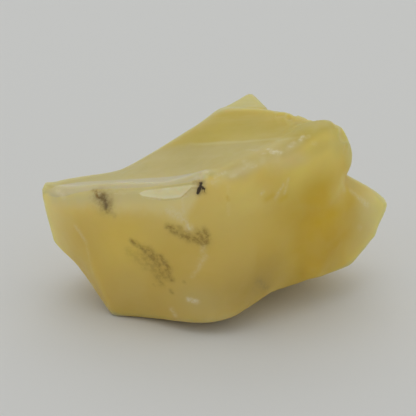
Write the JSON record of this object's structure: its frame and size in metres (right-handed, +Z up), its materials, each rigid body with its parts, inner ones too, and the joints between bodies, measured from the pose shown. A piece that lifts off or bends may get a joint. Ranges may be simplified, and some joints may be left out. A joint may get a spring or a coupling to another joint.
{
  "type": "rough opal",
  "caption": "Rough lump of milky yellow common opal with a hollow curved top, a bulging front, a low side lobe and dark mineral specks.",
  "frame": {"origin": "middle of the lump's footprint, at the height of the flat facet it rests on", "axes": "+Z up, +X along the longest side towards the low lobe, -Y out of the bulging front"},
  "size_m": [0.04, 0.0246, 0.0234],
  "materials": {
    "opal": "waxy, slightly translucent"
  },
  "bodies": {
    "root": {"opal": "opal"}
  },
  "joints": []
}
